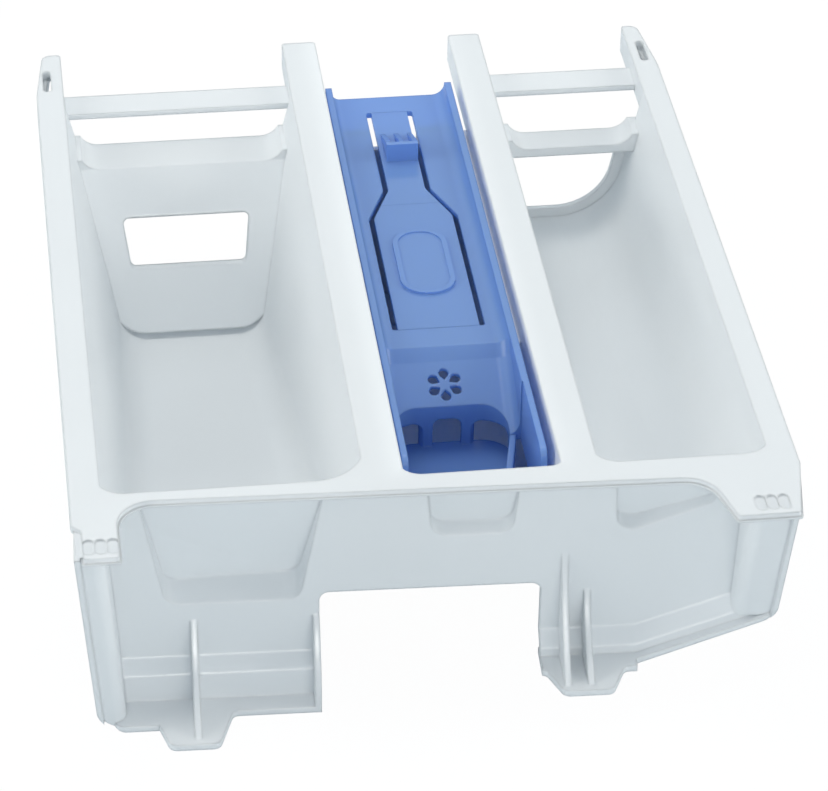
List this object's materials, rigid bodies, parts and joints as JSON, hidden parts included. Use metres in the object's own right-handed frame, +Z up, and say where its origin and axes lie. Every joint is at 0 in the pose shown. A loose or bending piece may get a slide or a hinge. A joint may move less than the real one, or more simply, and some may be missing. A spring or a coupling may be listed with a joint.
{
  "type": "detergent dispenser drawer",
  "caption": "Open white washing-machine dispenser drawer with parallel detergent bays, forward ears, a stepped front apron and a blue softener insert with a springy press strip.",
  "frame": {"origin": "middle of the drawer's box, on the surface it stands on", "axes": "+X to the right seen from the front, +Y to the rear, the way the drawer is pushed in, +Z up"},
  "size_m": [0.19, 0.252, 0.0664],
  "materials": {
    "white_plastic": "satin",
    "blue_plastic": "satin gloss"
  },
  "bodies": {
    "drawer": {"drawer_tray": "white_plastic", "softener_insert": "blue_plastic"},
    "strip_front": {"press_strip": "blue_plastic"},
    "strip_rear": {"catch_strip": "blue_plastic"}
  },
  "joints": [
    {"name": "press_flex", "type": "hinge", "parent": "drawer", "child": "strip_front", "pos_m": [0.0106, -0.02494, 0.0588], "axis": [-1, 0, 0], "range_deg": [0, 3.6], "stiffness_Nm_per_rad": 3},
    {"name": "catch_flex", "type": "hinge", "parent": "drawer", "child": "strip_rear", "pos_m": [0.0106, 0.09094, 0.0588], "axis": [1, 0, 0], "range_deg": [0, 4.5], "stiffness_Nm_per_rad": 2}
  ],
  "couplings": [
    {"joint": "catch_flex", "follows": "press_flex", "ratio": 1.231}
  ]
}
